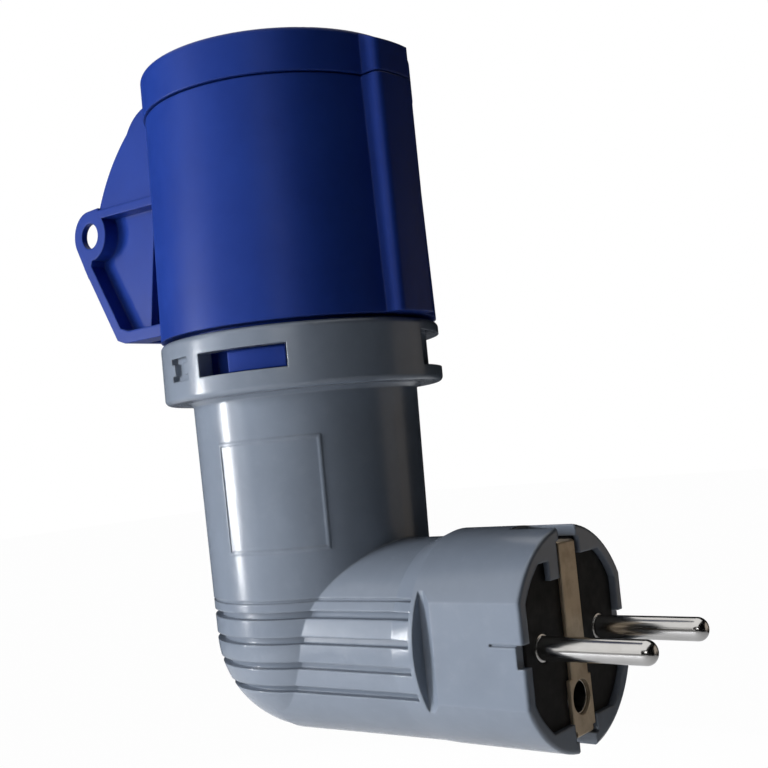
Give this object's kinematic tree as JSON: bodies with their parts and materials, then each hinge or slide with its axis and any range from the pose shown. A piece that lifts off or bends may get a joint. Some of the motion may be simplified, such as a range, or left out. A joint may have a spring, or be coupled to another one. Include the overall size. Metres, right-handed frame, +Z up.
{
  "type": "plug adapter",
  "caption": "Right-angle mains adapter: an earthed round-pin wall plug on a grey elbow carrying a round blue industrial socket with a sprung hinged lid and hanging eyelets.",
  "frame": {"origin": "middle of the plug's face, halfway between the pins, on the plane of the grey rim", "axes": "+X the way the pins point, +Y across the plug, +Z up along the socket's axis"},
  "size_m": [0.1331, 0.056, 0.132],
  "materials": {
    "grey_housing": "satin moulded",
    "blue_socket": "satin moulded",
    "black_insert": "matte moulded",
    "nickel_pins": "bright nickel plate",
    "tinned_strap": "dull tin plate",
    "brass_contacts": "machined",
    "steel": "zinc plated",
    "black_rubber": "soft",
    "brown_lead": "cable sheath",
    "blue_lead": "cable sheath",
    "green_lead": "cable sheath"
  },
  "bodies": {
    "adapter": {"angle_housing": "grey_housing", "socket_shroud": "blue_socket", "shroud_seal": "black_rubber", "lid_hinge_pin": "steel", "lid_spring": "steel", "retainer_screw": "steel", "carrier_screws": "steel", "contact_screws": "steel", "pin_screws": "steel", "contact_carrier": "black_insert", "contact_retainer": "black_insert", "plug_insert": "black_insert", "earth_strap": "tinned_strap", "earth_sleeve": "brass_contacts", "earth_contact": "brass_contacts", "line_contact": "brass_contacts", "neutral_contact": "brass_contacts", "earth_lead": "green_lead", "line_lead": "brown_lead", "neutral_lead": "blue_lead", "line_pin": "nickel_pins", "neutral_pin": "nickel_pins"},
    "lid": {"lid": "blue_socket", "lid_gasket": "black_rubber"}
  },
  "joints": [
    {"name": "lid_hinge", "type": "hinge", "parent": "adapter", "child": "lid", "pos_m": [-0.09, 0, 0.1042], "axis": [0, -1, 0], "range_deg": [0, 110], "stiffness_Nm_per_rad": 0.02, "springref_deg": -45.84}
  ]
}
